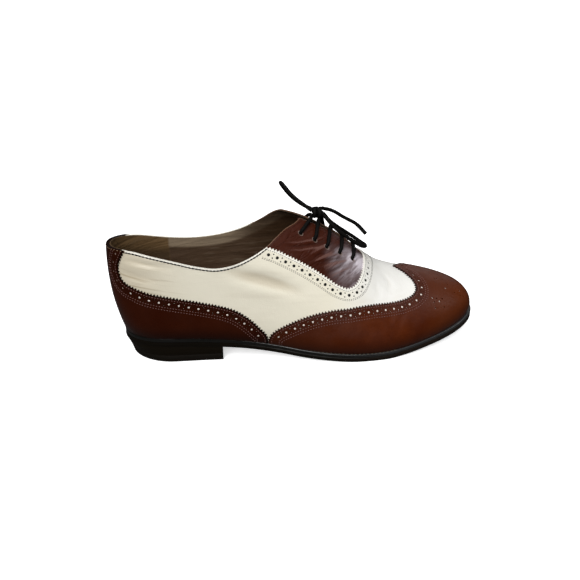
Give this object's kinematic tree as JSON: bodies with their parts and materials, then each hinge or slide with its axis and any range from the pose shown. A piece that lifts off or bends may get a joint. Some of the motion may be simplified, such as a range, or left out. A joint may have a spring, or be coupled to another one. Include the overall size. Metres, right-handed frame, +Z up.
{
  "type": "wingtip oxford",
  "caption": "Two-tone full brogue oxford for the right foot: hollow leather upper with wing cap, heel foxing and laced facings on a welted sole with a stacked heel.",
  "frame": {"origin": "centre of the heel's flat bottom face, on the floor", "axes": "+X towards the toe, -Y towards the outer side of the foot, +Z up"},
  "size_m": [0.2983, 0.0994, 0.1296],
  "materials": {
    "white_leather": "smooth ivory calf, satin",
    "brown_wing": "burnished chestnut calf, semi-gloss",
    "brown_foxing": "dark red-brown calf, semi-gloss",
    "tongue_leather": "burgundy-brown calf, satin",
    "insole_leather": "taupe lining leather, matt",
    "black_edge": "black waxed sole edge, satin",
    "black_heel": "black waxed heel lifts, satin",
    "black_rubber": "matt black top piece, worn",
    "black_lace": "round waxed black cotton, braided"
  },
  "bodies": {
    "root": {"outsole": "black_edge", "welt": "black_edge", "heel_stack": "black_heel", "heel_top_piece": "black_rubber", "insole": "insole_leather", "upper": "white_leather", "wing_cap": "brown_wing", "heel_foxing": "brown_foxing", "tongue": "tongue_leather", "lace_bar_1": "black_lace", "lace_bar_2": "black_lace", "lace_bar_3": "black_lace", "lace_bar_4": "black_lace", "lace_bar_5": "black_lace", "lace_knot": "black_lace", "lace_loop_back": "black_lace", "lace_loop_front": "black_lace", "lace_end_front": "black_lace", "lace_end_inner": "black_lace"}
  },
  "joints": []
}
